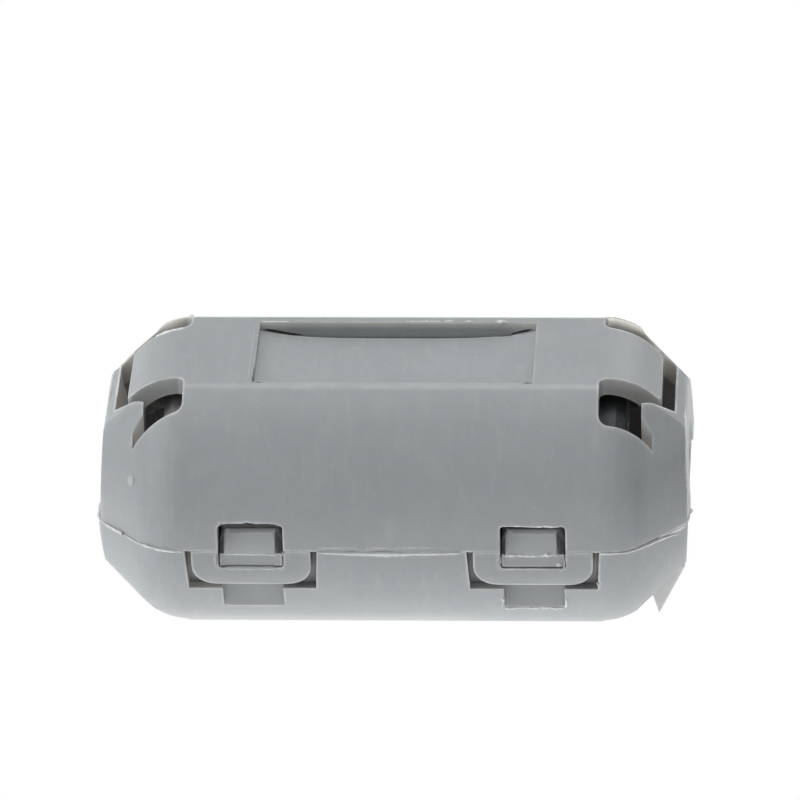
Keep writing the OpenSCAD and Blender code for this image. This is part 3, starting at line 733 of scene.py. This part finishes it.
# pips: node, side of the case, place, size, seed and material
PIPS = {
    "gate_pip": ("upper_shell", "left", (-4.9, 2.5), (0.20, 0.26, 0.07), 3, pip_and_highlight_material),
    "flash_catch_lump": ("lower_shell", "front", (7.03, -0.68), (0.13, 0.11, 0.03), 5, flash_highlight_material),
    "flash_end_lump": ("upper_shell", "right", (-3.5, 0.2), (0.14, 0.14, 0.14), 8, flash_highlight_material),
    "flash_rear_tip": ("upper_shell", "top", (-8.80, 3.40), (0.10, 0.07, 0.10), 11, flash_highlight_material),
}
for prefix, material, strips in (
    ("flash_", flash_highlight_material, FLASH),
    ("", gap_shadow_material, GAP_SHADOWS),
    ("", pip_and_highlight_material, HIGHLIGHT_RIMS),
    ("", lip_material, LIPS),
):
    for seed, (name, (node, side, stops, height, ragged)) in enumerate(strips.items()):
        ribbon(prefix + name, node, side, stops, height, ragged, seed, material)
for name, pip in PIPS.items():
    blob(name, *pip)

STRAP_THICKNESS = 0.30 * MM
STRAP_GROOVE = 0.10 * MM
STRAP_SOFT = 0.25 * STRAP_THICKNESS
STRAP_SUNK = 0.05 * MM
STRAP_STEPS = 28
FOLD_POWER = 4


def hinge_strap(node):
    """Folded strap: a C-shaped band with a thinner fold and softened sides."""
    low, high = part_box(node)
    left, right = low[0], high[0]
    outer = high[2]
    half = STRAP_THICKNESS / 2
    middle = outer - half
    axis = high[1] - outer
    root = -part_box("upper_shell")[0][1] - STRAP_SUNK
    line = [Vector((0.0, root, -middle)), Vector((0.0, (root + axis) / 2, -middle))]
    for i in range(STRAP_STEPS + 1):
        angle = math.pi * (i / STRAP_STEPS - 0.5)
        line.append(Vector((0.0, axis + middle * math.cos(angle), middle * math.sin(angle))))
    line += [Vector((0.0, (root + axis) / 2, middle)), Vector((0.0, root, middle))]
    last = len(line) - 1
    points, faces = [], []
    for i, point in enumerate(line):
        ahead = (line[min(i + 1, last)] - line[max(i - 1, 0)]).normalized()
        out = Vector((1.0, 0.0, 0.0)).cross(ahead)
        fold = max(0.0, (point.y - axis) / middle) ** FOLD_POWER
        inner = half - STRAP_GROOVE * fold
        section = (
            (left, -half + STRAP_SOFT), (left + STRAP_SOFT, -half),
            (right - STRAP_SOFT, -half), (right, -half + STRAP_SOFT),
            (right, inner - STRAP_SOFT), (right - STRAP_SOFT, inner),
            (left + STRAP_SOFT, inner), (left, inner - STRAP_SOFT),
        )
        points += [Vector((x, point.y, point.z)) + out * rise for x, rise in section]
    size = len(points) // len(line)
    for i in range(last):
        a, b = size * i, size * (i + 1)
        faces += [(a + k, a + (k + 1) % size, b + (k + 1) % size, b + k) for k in range(size)]
    faces += [tuple(range(size - 1, -1, -1)), tuple(size * last + k for k in range(size))]
    made = new_piece(node + "_band", points, faces, case_material)
    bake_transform(made)
    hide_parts(node)


for name in STRAP_NODES:
    hinge_strap(name)

bpy.ops.mesh.primitive_plane_add(size=FLOOR_SIDE, location=(0.0, 0.0, FLOOR_Z))
floor = bpy.context.object
floor.name = "floor"
dress(floor, floor_white("floor_white"))

scene = bpy.context.scene
world = bpy.data.worlds.new("studio")
world.use_nodes = True
background = world.node_tree.nodes["Background"]
background.inputs["Color"].default_value = SKY_TINT
background.inputs["Strength"].default_value = SKY_GLOW
scene.world = world


def softbox(name, place, size, power):
    """Area light that faces the origin of the frame."""
    data = bpy.data.lights.new(name, "AREA")
    data.shape = "RECTANGLE"
    data.size, data.size_y = size
    data.energy = power
    lamp = bpy.data.objects.new(name, data)
    bpy.context.collection.objects.link(lamp)
    lamp.location = place
    lamp.rotation_mode = "QUATERNION"
    lamp.rotation_quaternion = (-Vector(place)).to_track_quat("-Z", "Y")


for name, light in SOFTBOXES.items():
    softbox(name, *light)


def aim_camera():
    """Camera that puts the origin of the frame on its pixel in the photo."""
    azimuth, elevation = math.radians(CAM_AZIMUTH), math.radians(CAM_ELEVATION)
    back = Vector((
        math.sin(azimuth) * math.cos(elevation),
        -math.cos(azimuth) * math.cos(elevation),
        math.sin(elevation),
    ))
    forward = -back
    right = forward.cross(Vector((0.0, 0.0, 1.0))).normalized()
    up = right.cross(forward)
    level = Matrix((right, up, forward))
    focal = CAM_PIXELS_PER_MM * CAM_DISTANCE / MM
    roll = math.radians(CAM_ROLL)
    turn = Matrix((
        (math.cos(roll), math.sin(roll), 0.0),
        (-math.sin(roll), math.cos(roll), 0.0),
        (0.0, 0.0, 1.0),
    ))
    middle = IMAGE_SIDE / 2
    seen = Vector((CAM_ORIGIN_PIXEL[0] - middle, middle - CAM_ORIGIN_PIXEL[1], focal)).normalized()
    tilt = Vector((0.0, 0.0, 1.0)).rotation_difference(seen).to_matrix()
    axes = tilt @ turn @ level
    data = bpy.data.cameras.new("photo_camera")
    data.sensor_width = SENSOR_WIDTH
    data.lens = SENSOR_WIDTH * focal / IMAGE_SIDE
    data.clip_start, data.clip_end = CAM_CLIP
    camera = bpy.data.objects.new("photo_camera", data)
    bpy.context.collection.objects.link(camera)
    turned = Matrix((axes[0], axes[1], -axes[2])).transposed().to_4x4()
    camera.matrix_world = Matrix.Translation(back * CAM_DISTANCE) @ turned
    scene.camera = camera


aim_camera()
scene.view_settings.view_transform = "Standard"
